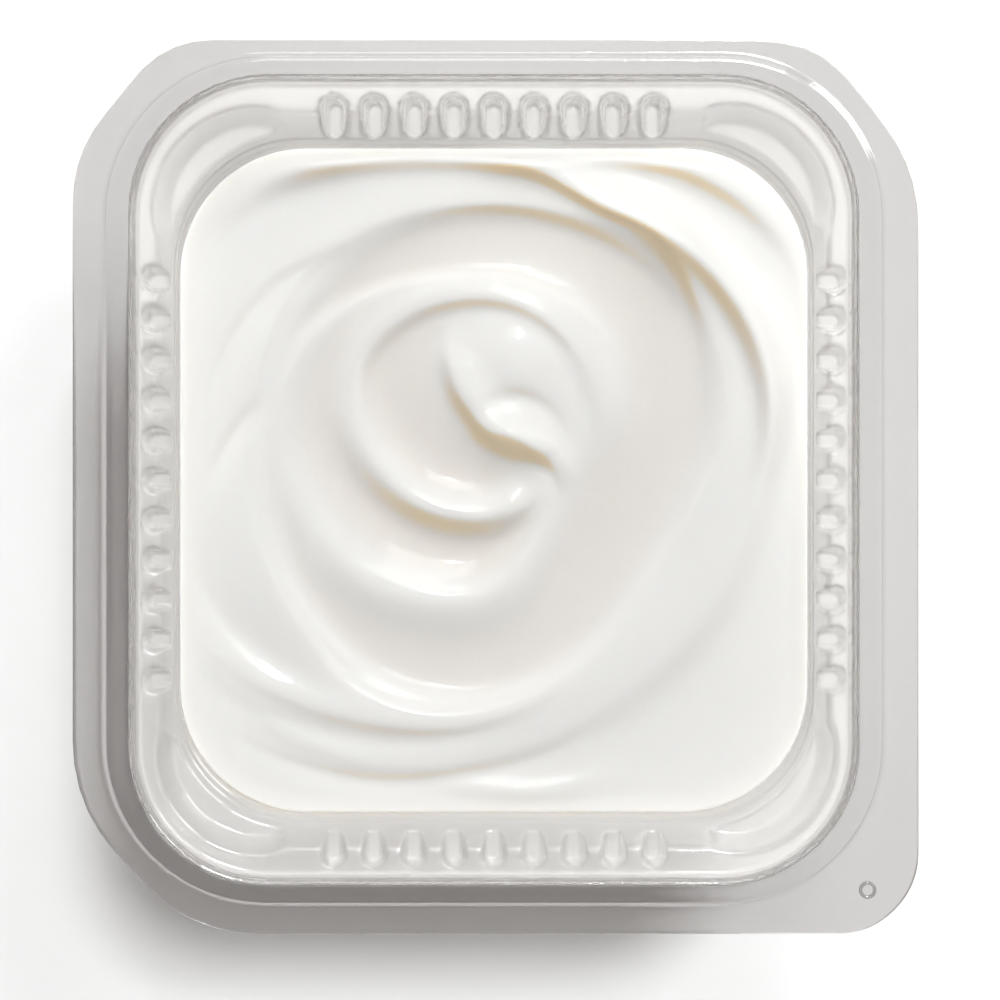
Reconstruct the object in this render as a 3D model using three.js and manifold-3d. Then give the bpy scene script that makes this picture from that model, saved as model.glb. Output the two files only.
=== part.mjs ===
// A square clear pot, thermoformed from one sheet, filled with spoon-swirled plain yogurt.
// Millimetres, +Z up.  The origin is on the surface the pot stands on, under the middle of its flange.

import * as THREE from 'three';
import { mergeVertices } from 'three/addons/utils/BufferGeometryUtils.js';
import Module from 'manifold-3d';

// Driving dimensions of the pot.  Every level of the body is a rounded rectangle:
// width along X, length along Y and corner radius.
const RIM_HEIGHT = 56;
const SHEET = 0.6;
const BODY_AT = [-0.2, 0.8];
const FLANGE = {
  width: 95.3,
  length: 100.7,
  // How much of each corner is cut off along X and along Y, and how far the cut's bends are rounded.
  trims: [[11.3, 14.5, 6.5], [10.4, 12.9, 5.5], [13.4, 14.3, 7.5], [5.4, 5.4, 3.8]],
};
const SEAL_STEP = { width: 87.5, length: 95.4, radius: 18 };
const SEAL_STEP_HEIGHT = 0.7;
const SEAL_STEP_RUN = 0.35;
const MOUTH = { width: 81, length: 90, radius: 15 };
const MOUTH_ROUND = 0.8;
const SHELF = { width: 75.5, length: 83.3, radius: 14.3 };
const SHELF_DEPTH = 3.6;
const SHELF_ROUND = 0.45;
const FILL = { width: 71.7, length: 75.8, radius: 14.4 };
const FILL_DEPTH = 10.5;
const FOOT = { width: 64, length: 67, radius: 12 };
const FOOT_ROUND = 4;
const FOOT_RING_WIDTH = 3;
const BASE_RISE = 1.2;

// The short pockets pressed into the shelf and the wall under it.
const POCKET_PITCH = 4.53;
const POCKET_WIDTH = 3;
const POCKET_ROWS = [
  { side: 'back', count: 9, start: 1.35, reach: 6.5, floor: 45.6 },
  { side: 'front', count: 9, start: 1.1, reach: 6, floor: 49.4 },
  { side: 'left', count: 11, start: 0.6, reach: 5.2, floor: 48.8 },
  { side: 'right', count: 11, start: 0.5, reach: 5.2, floor: 48.8 },
];
const CRESCENT_DEPTH = 1.95;
const CRESCENT_INSET = 2.2;
const CRESCENT_FLOOR = 49;
const CRESCENT_FROM = 6;
const CRESCENT_TO = 88;

// The small raised ring on the corner that is pulled to peel the lid.
const TAB_RING = { at: [41.9, -45.4], outer: 0.95, inner: 0.65, proud: 0.2 };

// Driving dimensions of the yogurt.
const GAP = 0.3;
const YOGURT_LEVEL = 45.2;
const GRID_CELL = 1.5;
const EDGE_BAND = 2.2;
const EDGE_RISE = 0.3;

// The bowl that the spoon pressed: its radius at evenly spaced angles from +X, and how far
// in from its edge the wall takes to curve down to the bowl's floor.
const BOWL_AT = [-1.2, 5.9];
const BOWL_RADII = [
  27.2, 28.6, 29, 27.2, 26.4, 26.1, 26.3, 25.5, 25.5, 27, 28.8, 30.4, 30.2, 27.7, 24.8, 24.8,
];
const BOWL_WALLS = [2.6, 2.1, 1.7, 1.4, 1.4, 1.7, 2.4, 2.2, 1.7, 1.4, 1.3, 1.1, 1.1, 1.4, 1.8, 2.2];
const BOWL_LIP = 0.3;
const BOWL_DEPTH = 1.4;
const BOWL_CURVE = 1.6;
const BOWL_SAG = { depth: 0.8, radius: 26, run: 14 };

// Soft mounds left between the strokes.
const MOUNDS = [
  { at: [2.2, 14.3], radius: 8.6, rise: 4.2 },
  { at: [6.7, 4.7], radius: 6.6, rise: 1.6 },
];

// Each stroke of the spoon is an arc about a centre of its own, from a start angle through a
// turn in degrees.  The other values are spread evenly along it: its radius, its rise above
// what it crosses, and how far it spreads towards its centre and away from it.  fade is the
// share of the turn over which it begins and ends.
const STROKES = [
  { // upper left rim of the bowl
    at: [-0.8, 5.3], start: 196, turn: -150, radii: [26.3, 27.2, 28.6, 28.2, 27.4, 27.2, 27.8],
    rise: [0.2, 0.4, 0.5, 0.5, 0.5, 0.6, 0.8], inside: [1.1], outside: [3.2], fade: [0.2, 0.12],
  },
  { // fold that comes down from the top and becomes the right rim of the bowl
    at: [-1.7, 6.4], start: 96, turn: -132, radii: [32, 30.8, 29.4, 30.4, 29, 27.6, 26.6, 25.6, 25.6],
    rise: [0.6, 1.8, 2.8, 3, 1, 0.4, 0.4, 0.5, 0.2],
    inside: [1.2, 1.2, 1, 1, 1.2, 1.6, 1.6, 1.6, 1.6], outside: [4], fade: [0.1, 0.15],
  },
  { // second fold on the right
    at: [-1.7, 6.4], start: 50, turn: -60, radii: [30.8, 32.2, 33.2, 33.5, 33],
    rise: [1.6, 2.8, 3.2, 2.4, 0.8], inside: [1.8], outside: [3], fade: [0.12, 0.3],
  },
  { // long outer crest round the lower right
    at: [-1.7, 6.4], start: 10, turn: -143, radii: [32.6, 32, 32, 32.8, 33.8, 35.6, 38.4, 40.2, 40.5],
    rise: [1.2, 1.5, 1.5, 1.3, 1, 0.8, 0.7, 0.7, 0.5], inside: [6],
    outside: [2.2, 2.6, 3.2, 3.2, 3, 2.4, 2, 2, 2], fade: [0.1, 0.1],
  },
  { // lower rim of the bowl
    at: [-1.7, 5.3], start: 185, turn: 150, radii: [27.4, 28, 29.3, 31.7, 31.8, 30.1, 28, 26.3, 24.8],
    rise: [0.5, 0.7, 0.8, 0.9, 0.9, 0.7, 0.5, 0.3, 0], inside: [1.3], outside: [5], fade: [0.1, 0.1],
  },
  { // outer turn of the spiral
    at: [-5.1, 5.3], start: 37, turn: 302,
    radii: [21.1, 19.6, 18.4, 18.7, 19.8, 19.6, 18.5, 18.4, 18.4, 18, 15, 12.6],
    rise: [0.4, 0.7, 0.8, 0.8, 0.8, 0.9, 1.4, 1.9, 2.1, 2.2, 2, 1.4],
    inside: [4, 4, 4, 4, 4, 4, 4.5, 4.5, 4.5, 3.5, 2.2, 2],
    outside: [1.2, 1.2, 1.2, 1.4, 1.6, 2, 3.4, 4.2, 4.4, 4.4, 4, 4], fade: [0.06, 0.08],
  },
  { // inner turn of the spiral
    at: [-2.3, 7.5], start: -50, turn: -318,
    radii: [10.4, 10.8, 10.9, 11.4, 12.2, 13.7, 15, 14.6, 14.3, 14.4, 14.4, 14.6, 14.9],
    rise: [1.8, 2.5, 2.7, 2.5, 2.2, 1.7, 1.3, 1.2, 1.2, 1.2, 1.2, 1.2, 0.8],
    inside: [3.5, 3.5, 3.5, 3.5, 3.5, 3, 1.8, 1.3, 1.2, 1.2, 1.4, 2, 2],
    outside: [2.2, 2.2, 2.2, 2.4, 3, 3.4, 3, 2.8, 2.8, 3, 4, 5, 5], fade: [0.06, 0.06],
  },
  { // left edge of the middle dome, down to its tip
    at: [2.8, 14.3], start: 165, turn: 115, radii: [8.2, 7.7, 7.7, 8.8, 10.2],
    rise: [0.6, 1.5, 2.1, 2.2, 1.8], inside: [3.4], outside: [1.4], fade: [0.2, 0.2],
  },
  { // lower edge of the middle dome, right of its tip
    at: [0, -1.5], start: 100, turn: -92, radii: [7.9, 7.7, 7.6, 8, 8.2],
    rise: [0.8, 1.4, 1.4, 1, 0.5], inside: [1.2], outside: [2.2], fade: [0.3, 0.3],
  },
  { // curl above the tip
    at: [2.8, 4.7], start: 130, turn: -120, radii: [6.1, 5.6, 5.2, 5.1],
    rise: [-0.4, -0.55, -0.5, -0.3], inside: [1.6], outside: [1], fade: [0.3, 0.3],
  },
  { // lip along the back, left
    at: [-7.4, 1.9], start: 122, turn: -50, radii: [38, 37.2, 36.7, 36.8],
    rise: [1.4, 2.6, 2.6, 1.6], inside: [1.9], outside: [4], fade: [0.3, 0.25],
  },
  { // lip along the back, right
    at: [8.9, 13.2], start: 106, turn: -76, radii: [25.4, 25.4, 27, 28.6],
    rise: [1.4, 2.2, 1.8, 1], inside: [1.5], outside: [4], fade: [0.2, 0.3],
  },
  { // shallow groove outside the bowl, upper left
    at: [-7.4, 5.3], start: 161, turn: -40, radii: [25.6, 25.3, 24.9, 24.2],
    rise: [-0.6], inside: [2.4], outside: [1], fade: [0.4, 0.3],
  },
  { // short groove at the left
    at: [-7.4, -9.3], start: 154, turn: -17, radii: [27.2, 27.3, 27.3],
    rise: [-0.6], inside: [1.8], outside: [0.8], fade: [0.5, 0.4],
  },
  { // groove at the lower left
    at: [-7.4, 1.9], start: -163, turn: 42, radii: [29.4, 29.2, 28.8, 27.8],
    rise: [-0.5], inside: [2.4], outside: [1.4], fade: [0.4, 0.4],
  },
  { // ridge in front
    at: [-9.6, 7.5], start: -128, turn: 66, radii: [34.6, 34.4, 34.5, 35, 34.7],
    rise: [0.5, 0.65, 0.65, 0.55, 0.3], inside: [3.2], outside: [1.2], fade: [0.2, 0.2],
  },
  { // groove below that ridge
    at: [-9.6, 7.5], start: -123, turn: 45, radii: [37.8, 37, 36.7, 36.5],
    rise: [-0.35], inside: [1.2], outside: [1.6], fade: [0.3, 0.3],
  },
  { // fine groove in front of the outer crest
    at: [-9.4, 7.5], start: -112, turn: 44, radii: [41.6, 41.5, 40.8, 40.9],
    rise: [-0.5], inside: [0.9], outside: [1.4], fade: [0.3, 0.3],
  },
  { // low wave near the front wall
    at: [2, 5], start: -97, turn: 20, radii: [39.6, 39.8, 39.6],
    rise: [0.7], inside: [1.4], outside: [2.4], fade: [0.4, 0.4],
  },
];
const STROKE_SHARPNESS = 1.5;

// Steps that round a quarter turn of each outline, the foot's edge, a pocket and a crescent.
const ARC_STEPS = 6;
const FOOT_ROUND_STEPS = 3;
const POCKET_STEPS = 4;
const CRESCENT_STEPS = 9;
const FULL_TURN = 360;
const QUARTER = Math.PI / 2;
// Signs of the corners, anticlockwise from +X +Y.
const CORNERS = [[1, 1], [-1, 1], [-1, -1], [1, -1]];
// Height by which a cutting solid overshoots the face that it opens.
const OVERSHOOT = 1.5;

const wasm = await Module();
wasm.setup();

// A level grown by the same amount on every side.
function grown(level, by, z) {
  return {
    width: level.width + 2 * by,
    length: level.length + 2 * by,
    radius: level.radius + by,
    z,
  };
}

// The level part of the way from one to another.
function between(a, b, share, z) {
  const mix = (key) => THREE.MathUtils.lerp(a[key], b[key], share);
  return { width: mix('width'), length: mix('length'), radius: mix('radius'), z };
}

// Points of a rounded rectangle, anticlockwise from the upper end of its +X side.
function ring({ width, length, radius, z }) {
  const points = [];
  CORNERS.forEach(([sx, sy], quarter) => {
    const cx = BODY_AT[0] + sx * (width / 2 - radius);
    const cy = BODY_AT[1] + sy * (length / 2 - radius);
    for (let i = 0; i <= ARC_STEPS; i += 1) {
      const angle = (quarter + i / ARC_STEPS) * QUARTER;
      points.push([cx + radius * Math.cos(angle), cy + radius * Math.sin(angle), z]);
    }
  });
  return points;
}

// Points of the flange's outline, in the same order.
function flangeRing(z) {
  const points = [];
  CORNERS.forEach(([sx, sy], quarter) => {
    const [overX, overY, bend] = FLANGE.trims[quarter];
    const place = (fromX, fromY) => new THREE.Vector2(
      sx * (FLANGE.width / 2 - fromX),
      sy * (FLANGE.length / 2 - fromY),
    );
    const share = bend / Math.hypot(overX, overY);
    const route = [
      place(0, overY + bend), place(0, overY), place(overX * share, overY * (1 - share)),
      place(overX * (1 - share), overY * share), place(overX, 0), place(overX + bend, 0),
    ];
    if (quarter % 2 === 1) {
      route.reverse();
    }
    const [start, firstBend, cutStart, cutEnd, secondBend, end] = route;
    const corner = new THREE.Path([start]);
    corner.quadraticCurveTo(firstBend.x, firstBend.y, cutStart.x, cutStart.y);
    corner.lineTo(cutEnd.x, cutEnd.y);
    corner.quadraticCurveTo(secondBend.x, secondBend.y, end.x, end.y);
    points.push(...corner.getSpacedPoints(ARC_STEPS).map(({ x, y }) => [x, y, z]));
  });
  return points;
}

// A closed solid through rings of equal length, lowest first, with flat ends.
function loft(rings) {
  const count = rings[0].length;
  const positions = rings.flat(2);
  const index = [];
  for (let row = 0; row < rings.length - 1; row += 1) {
    for (let i = 0; i < count; i += 1) {
      const a = row * count + i;
      const b = row * count + ((i + 1) % count);
      index.push(a, b, b + count, a, b + count, a + count);
    }
  }
  const cap = (row, flip) => {
    const z = rings[row][0][2];
    const middle = positions.length / 3;
    positions.push(...BODY_AT, z);
    for (let i = 0; i < count; i += 1) {
      const a = row * count + i;
      const b = row * count + ((i + 1) % count);
      index.push(...(flip ? [b, a, middle] : [a, b, middle]));
    }
  };
  cap(0, true);
  cap(rings.length - 1, false);
  const geometry = new THREE.BufferGeometry();
  geometry.setAttribute('position', new THREE.Float32BufferAttribute(positions, 3));
  geometry.setIndex(index);
  return geometry;
}

function solidFrom(geometry) {
  const bare = geometry.clone();
  bare.deleteAttribute('normal');
  bare.deleteAttribute('uv');
  const merged = mergeVertices(bare);
  return new wasm.Manifold(new wasm.Mesh({
    numProp: 3,
    vertProperties: new Float32Array(merged.attributes.position.array),
    triVerts: new Uint32Array(merged.index.array),
  }));
}

function geometryFrom(solid) {
  const mesh = solid.getMesh();
  const geometry = new THREE.BufferGeometry();
  geometry.setAttribute('position', new THREE.Float32BufferAttribute(mesh.vertProperties, 3));
  geometry.setIndex(new THREE.Uint32BufferAttribute(mesh.triVerts, 1));
  geometry.computeVertexNormals();
  return geometry;
}

// Inner face of the pot below the mouth, from the middle of the floor up.
function innerLevels() {
  const wallTop = RIM_HEIGHT - SHELF_DEPTH;
  const fillHeight = RIM_HEIGHT - FILL_DEPTH;
  const levels = [
    grown(FOOT, -FOOT_ROUND - FOOT_RING_WIDTH - BASE_RISE, SHEET + BASE_RISE),
    grown(FOOT, -FOOT_ROUND - FOOT_RING_WIDTH, SHEET),
  ];
  for (let i = 0; i <= FOOT_ROUND_STEPS; i += 1) {
    const angle = (i / FOOT_ROUND_STEPS) * QUARTER;
    const rise = FOOT_ROUND * (1 - Math.cos(angle));
    levels.push(grown(FOOT, FOOT_ROUND * (Math.sin(angle) - 1), SHEET + rise));
  }
  levels.push(
    grown(FILL, 0, fillHeight),
    between(FILL, SHELF, 0.55, THREE.MathUtils.lerp(fillHeight, wallTop, 0.62)),
    grown(SHELF, 0, wallTop - SHELF_ROUND),
    grown(SHELF, SHELF_ROUND, wallTop),
    grown(MOUTH, -2 * SHELF_ROUND, wallTop),
    grown(MOUTH, -SHELF_ROUND, wallTop + SHELF_ROUND),
    grown(MOUTH, 0, RIM_HEIGHT - MOUTH_ROUND),
    grown(MOUTH, MOUTH_ROUND / 4, RIM_HEIGHT - MOUTH_ROUND / 4),
    grown(MOUTH, MOUTH_ROUND, RIM_HEIGHT),
  );
  return levels;
}

// The same face moved outwards and down by the sheet's thickness, with mitred corners.
function outerLevels(levels) {
  const across = (level) => (level.width + level.length) / 4;
  const facing = levels.slice(1).map((level, i) => {
    const run = across(level) - across(levels[i]);
    return new THREE.Vector2(level.z - levels[i].z, -run).normalize();
  });
  return levels.map((level, i) => {
    const below = facing[Math.max(i - 1, 0)];
    const above = facing[Math.min(i, facing.length - 1)];
    const mitre = below.clone().add(above).multiplyScalar(SHEET / (1 + below.dot(above)));
    return grown(level, mitre.x, level.z + mitre.y);
  });
}

// Outer solid of the pot with its flange, still full inside.
function outerBody() {
  const wall = outerLevels(innerLevels());
  const landHeight = RIM_HEIGHT - SEAL_STEP_HEIGHT;
  return solidFrom(loft([
    ...wall.map(ring),
    ring(grown(SEAL_STEP, -SEAL_STEP_RUN, RIM_HEIGHT - SHEET)),
    ring(grown(SEAL_STEP, SEAL_STEP_RUN, landHeight - SHEET)),
    flangeRing(landHeight - SHEET),
    flangeRing(landHeight),
    ring(grown(SEAL_STEP, SEAL_STEP_RUN, landHeight)),
    ring(grown(SEAL_STEP, -SEAL_STEP_RUN, RIM_HEIGHT)),
  ]));
}

// Space inside the pot, carried up past the rim.
function innerSpace() {
  const levels = innerLevels();
  const top = levels[levels.length - 1];
  return solidFrom(loft([...levels, { ...top, z: RIM_HEIGHT + OVERSHOOT }].map(ring)));
}

// A prism with the given outline, between two heights.
function prism(shape, low, high) {
  const geometry = new THREE.ExtrudeGeometry(shape, {
    depth: high - low,
    bevelEnabled: false,
    curveSegments: POCKET_STEPS,
  });
  geometry.translate(0, 0, low);
  return geometry;
}

// Outline of a pocket that starts near the mouth's edge and runs inwards along -Y.
function pocketOutline(start, reach, extra) {
  const half = POCKET_WIDTH / 2;
  const shape = new THREE.Shape();
  shape.absarc(0, -start - half, half + extra, 0, Math.PI, false);
  shape.absarc(0, -reach + half, half + extra, Math.PI, 2 * Math.PI, false);
  return shape;
}

// The pockets of one side: extra is the sheet's thickness for their outside, else nothing.
function pocketRow({ side, count, start, reach, floor }, extra) {
  const turn = { back: 0, left: 1, front: 2, right: 3 }[side];
  const alongX = turn % 2 === 0;
  const edge = (alongX ? MOUTH.length : MOUTH.width) / 2;
  const shelfHeight = RIM_HEIGHT - SHELF_DEPTH;
  const top = extra ? shelfHeight - SHEET / 2 : shelfHeight + OVERSHOOT;
  const rows = [];
  for (let i = 0; i < count; i += 1) {
    const pocket = prism(pocketOutline(start, reach, extra), floor - extra, top);
    pocket.translate((i - (count - 1) / 2) * POCKET_PITCH, edge, 0);
    pocket.rotateZ(turn * QUARTER);
    pocket.translate(...BODY_AT, 0);
    rows.push(solidFrom(pocket));
  }
  return rows;
}

// The crescent pocket round one corner of the shelf.
function crescent(quarter, extra) {
  const [sx, sy] = CORNERS[quarter];
  const cx = BODY_AT[0] + sx * (SHELF.width / 2 - SHELF.radius);
  const cy = BODY_AT[1] + sy * (SHELF.length / 2 - SHELF.radius);
  const outline = [];
  for (let i = 0; i <= CRESCENT_STEPS; i += 1) {
    const share = i / CRESCENT_STEPS;
    const degrees = THREE.MathUtils.lerp(CRESCENT_FROM, CRESCENT_TO, share);
    const angle = quarter * QUARTER + THREE.MathUtils.degToRad(degrees);
    const r = SHELF.radius + extra + CRESCENT_DEPTH * Math.sin(Math.PI * share) ** 0.6;
    outline.push(new THREE.Vector2(cx + r * Math.cos(angle), cy + r * Math.sin(angle)));
  }
  for (let i = CRESCENT_STEPS; i >= 0; i -= 1) {
    const degrees = THREE.MathUtils.lerp(CRESCENT_FROM, CRESCENT_TO, i / CRESCENT_STEPS);
    const angle = quarter * QUARTER + THREE.MathUtils.degToRad(degrees);
    const r = SHELF.radius - CRESCENT_INSET - extra;
    outline.push(new THREE.Vector2(cx + r * Math.cos(angle), cy + r * Math.sin(angle)));
  }
  const shelfHeight = RIM_HEIGHT - SHELF_DEPTH;
  const top = extra ? shelfHeight - SHEET / 2 : shelfHeight + SHEET;
  return solidFrom(prism(new THREE.Shape(outline), CRESCENT_FLOOR - extra, top));
}

function pockets(extra) {
  return [
    ...POCKET_ROWS.flatMap((row) => pocketRow(row, extra)),
    ...[0, 1, 2, 3].map((quarter) => crescent(quarter, extra)),
  ];
}

function tabRing() {
  const { at, outer, inner, proud } = TAB_RING;
  const land = RIM_HEIGHT - SEAL_STEP_HEIGHT;
  const low = land - SHEET / 2;
  const high = land + proud;
  const middle = (outer + inner) / 2;
  const profile = [
    [inner, low], [outer, low], [outer, land], [middle, high], [inner, land], [inner, low],
  ].map(([r, z]) => new THREE.Vector2(r, z));
  const geometry = new THREE.LatheGeometry(profile, 14);
  geometry.rotateX(QUARTER);
  geometry.translate(...at, 0);
  return solidFrom(geometry);
}

function pot() {
  const outside = wasm.Manifold.union([outerBody(), tabRing(), ...pockets(SHEET)]);
  const inside = wasm.Manifold.union([innerSpace(), ...pockets(0)]);
  return geometryFrom(outside.subtract(inside));
}

// A smooth step from 0 to 1.
function ease(t) {
  return THREE.MathUtils.smoothstep(t, 0, 1);
}

// Value and slope of a smooth curve through evenly spaced values, at t from 0 to 1.
function along(values, t) {
  if (values.length === 1) {
    return [values[0], 0];
  }
  const last = values.length - 1;
  const place = THREE.MathUtils.clamp(t, 0, 1) * last;
  const i = Math.min(Math.floor(place), last - 1);
  const f = place - i;
  const before = values[Math.max(i - 1, 0)];
  const [from, to] = [values[i], values[i + 1]];
  const after = values[Math.min(i + 2, last)];
  const leave = i === 0 ? to - from : (to - before) / 2;
  const arrive = i === last - 1 ? to - from : (after - from) / 2;
  const rest = 3 * (to - from) - 2 * leave - arrive;
  const twist = leave + arrive - 2 * (to - from);
  const value = from + f * (leave + f * (rest + f * twist));
  const slope = (leave + f * (2 * rest + 3 * f * twist)) * last;
  return [value, slope];
}

// Value of a smooth closed curve through evenly spaced values, at an angle in degrees.
function round(values, degrees) {
  const n = values.length;
  const place = (THREE.MathUtils.euclideanModulo(degrees, FULL_TURN) / FULL_TURN) * n;
  const i = Math.floor(place);
  const f = place - i;
  const [a, b, c, d] = [-1, 0, 1, 2].map((step) => values[(i + step + n) % n]);
  return b + 0.5 * f * (c - a + f * (2 * a - 5 * b + 4 * c - d + f * (3 * (b - c) + d - a)));
}

// Height that one stroke adds at a point.
function strokeHeight(stroke, x, y) {
  const dx = x - stroke.at[0];
  const dy = y - stroke.at[1];
  const span = Math.abs(stroke.turn);
  const spare = (FULL_TURN - span) / 2;
  const bearing = THREE.MathUtils.radToDeg(Math.atan2(dy, dx)) - stroke.start;
  let travelled = THREE.MathUtils.euclideanModulo(Math.sign(stroke.turn) * bearing, FULL_TURN);
  if (travelled > span + spare) {
    travelled -= FULL_TURN;
  }
  const t = travelled / span;
  const [begin, end] = stroke.fade;
  const fading = ease((t + begin) / (2 * begin)) * ease((1 + end - t) / (2 * end));
  if (fading === 0) {
    return 0;
  }
  const [radius, change] = along(stroke.radii, t);
  const lean = t < 0 || t > 1 ? 0 : change / (THREE.MathUtils.degToRad(span) * radius);
  const off = (Math.hypot(dx, dy) - radius) / Math.hypot(1, lean);
  const spread = off < 0 ? along(stroke.inside, t)[0] : along(stroke.outside, t)[0];
  const [rise] = along(stroke.rise, t);
  return fading * rise * Math.exp(-STROKE_SHARPNESS * (off / spread) ** 2);
}

// Distance from the yogurt's edge, inwards.
function fromEdge(x, y) {
  const { width, length, radius } = FILL;
  const ox = Math.max(Math.abs(x - BODY_AT[0]) - (width / 2 - radius), 0);
  const oy = Math.max(Math.abs(y - BODY_AT[1]) - (length / 2 - radius), 0);
  return radius - Math.hypot(ox, oy);
}

// Height of the yogurt's top over its own level.
function swirl(x, y) {
  const dx = x - BOWL_AT[0];
  const dy = y - BOWL_AT[1];
  const r = Math.hypot(dx, dy);
  const degrees = THREE.MathUtils.radToDeg(Math.atan2(dy, dx));
  const inwards = Math.max(round(BOWL_RADII, degrees) + BOWL_LIP - r, 0);
  const curve = (inwards / round(BOWL_WALLS, degrees)) ** BOWL_CURVE;
  let height = -BOWL_DEPTH * (1 - Math.exp(-curve));
  height -= BOWL_SAG.depth * ease((BOWL_SAG.radius - r) / BOWL_SAG.run);
  for (const { at, radius, rise } of MOUNDS) {
    height += rise * Math.exp(-((x - at[0]) ** 2 + (y - at[1]) ** 2) / radius ** 2);
  }
  for (const stroke of STROKES) {
    height += strokeHeight(stroke, x, y);
  }
  const atEdge = ease(1 - fromEdge(x, y) / EDGE_BAND);
  return THREE.MathUtils.lerp(height, EDGE_RISE, atEdge);
}

// A block larger than the pot's inside, with the swirled top.
function swirlBlock() {
  const spanX = SHELF.width;
  const spanY = SHELF.length;
  const columns = Math.round(spanX / GRID_CELL);
  const rows = Math.round(spanY / GRID_CELL);
  const box = new THREE.BoxGeometry(spanX, spanY, YOGURT_LEVEL, columns, rows, 1);
  box.translate(...BODY_AT, YOGURT_LEVEL / 2);
  const place = box.attributes.position;
  for (let i = 0; i < place.count; i += 1) {
    if (place.getZ(i) > YOGURT_LEVEL / 2) {
      place.setZ(i, YOGURT_LEVEL + swirl(place.getX(i), place.getY(i)));
    }
  }
  return solidFrom(box);
}

// The space that the yogurt fills: the pot's inside, a hair smaller, up to the shelf.
function fillSpace() {
  const shelfHeight = RIM_HEIGHT - SHELF_DEPTH;
  const levels = innerLevels()
    .filter((level) => level.z < shelfHeight)
    .map((level) => grown(level, -GAP, level.z + GAP));
  return solidFrom(loft(levels.map(ring)));
}

function yogurt() {
  return geometryFrom(swirlBlock().intersect(fillSpace()));
}

const clearPlastic = new THREE.MeshStandardMaterial({
  color: 0xdfe2e3,
  roughness: 0.08,
  metalness: 0,
  transparent: true,
  opacity: 0.35,
});
const creamWhite = new THREE.MeshStandardMaterial({ color: 0xf3efe6, roughness: 0.35, metalness: 0 });

function named(name, geometry, material) {
  const mesh = new THREE.Mesh(geometry, material);
  mesh.name = name;
  return mesh;
}

const part = new THREE.Group();
part.add(named('pot', pot(), clearPlastic));
part.add(named('yogurt', yogurt(), creamWhite));

export default part;
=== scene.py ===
# A square clear pot of spoon-swirled plain yogurt, seen from straight above.
import math
from collections import namedtuple

import bpy
import numpy as np
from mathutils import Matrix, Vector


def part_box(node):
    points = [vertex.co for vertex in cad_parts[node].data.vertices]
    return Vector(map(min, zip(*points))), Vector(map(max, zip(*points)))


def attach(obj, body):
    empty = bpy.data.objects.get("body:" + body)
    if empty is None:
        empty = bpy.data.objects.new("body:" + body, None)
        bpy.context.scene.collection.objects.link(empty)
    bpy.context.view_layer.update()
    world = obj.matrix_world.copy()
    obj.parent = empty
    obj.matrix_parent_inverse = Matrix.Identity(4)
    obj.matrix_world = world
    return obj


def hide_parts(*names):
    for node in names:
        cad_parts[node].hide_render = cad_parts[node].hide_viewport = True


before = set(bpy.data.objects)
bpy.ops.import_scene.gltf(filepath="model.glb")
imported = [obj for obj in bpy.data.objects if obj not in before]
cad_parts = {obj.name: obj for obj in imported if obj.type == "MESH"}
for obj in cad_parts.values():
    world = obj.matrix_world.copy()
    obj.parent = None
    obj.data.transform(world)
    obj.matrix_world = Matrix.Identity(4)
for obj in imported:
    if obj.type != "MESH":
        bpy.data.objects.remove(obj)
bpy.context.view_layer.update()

# Shapes are worked out in millimetres, and MM turns them into Blender's metres.
MM = 0.001
QUARTER = math.pi / 2
CORNERS = np.array([(1, 1), (-1, 1), (-1, -1), (1, -1)])

# Driving sizes of the pot.  The frame gives the rim and the flange, and the rest are those of its solids,
# apart from the roundings, the pockets' slopes and the lines round the wall, which are finer here.
# Every level of the body is a rounded rectangle: width along X, length along Y and corner radius.
POT_LOW, POT_HIGH = (np.array(corner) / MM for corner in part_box("pot"))
RIM_HEIGHT = POT_HIGH[2]
SHEET = 0.6
BODY_AT = np.array([-0.2, 0.8])
FLANGE_WIDTH, FLANGE_LENGTH = (POT_HIGH - POT_LOW)[:2]
# The radius that the flange's corners start from, and for each corner how much of it is cut off
# along X and along Y and how far the cut's bends are rounded.
FLANGE_RADIUS = 16
FLANGE_TRIMS = [(11.3, 14.5, 6.5), (10.4, 12.9, 5.5), (13.4, 14.3, 7.5), (5.4, 5.4, 3.8)]
SEAL_STEP = [87.5, 95.4, 18]
SEAL_STEP_HEIGHT = 0.7
SEAL_STEP_RUN = 0.35
SEAL_STEP_ROUND = 0.5
MOUTH = [81, 90, 15]
MOUTH_ROUND = 0.8
SHELF = [75.5, 83.3, 14.3]
SHELF_DEPTH = 3.6
SHELF_ROUND = 0.9
SHELF_INSET = 0.45
FILL = [71.7, 75.8, 14.4]
FILL_DEPTH = 10.5
# The upper wall bends at this share of its height, where it has gone this share of its way outwards.
WALL_BEND = (0.62, 0.55)
WALL_BEND_ROUND = 1.5
FILL_ROUND = 3
# Heights of the two fine steps round the wall, and how far each one steps out.
WALL_LINES = [46.5, 47.6]
WALL_LINE_STEP = 0.16
FOOT = [64, 67, 12]
FOOT_ROUND = 4
FOOT_RING_WIDTH = 3
FOOT_RING_ROUND = 0.8
BASE_RISE = 1.2
# From this far inside its rise the base is closed by a flat fan.
BASE_MARGIN = 2
# Roundings of the flange's underside and of the mouth's outer face.
UNDERSIDE_ROUND = 0.3
OUTER_MOUTH_ROUND = 0.4
LAND_HEIGHT = RIM_HEIGHT - SEAL_STEP_HEIGHT
SHELF_HEIGHT = RIM_HEIGHT - SHELF_DEPTH
FILL_HEIGHT = RIM_HEIGHT - FILL_DEPTH

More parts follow.
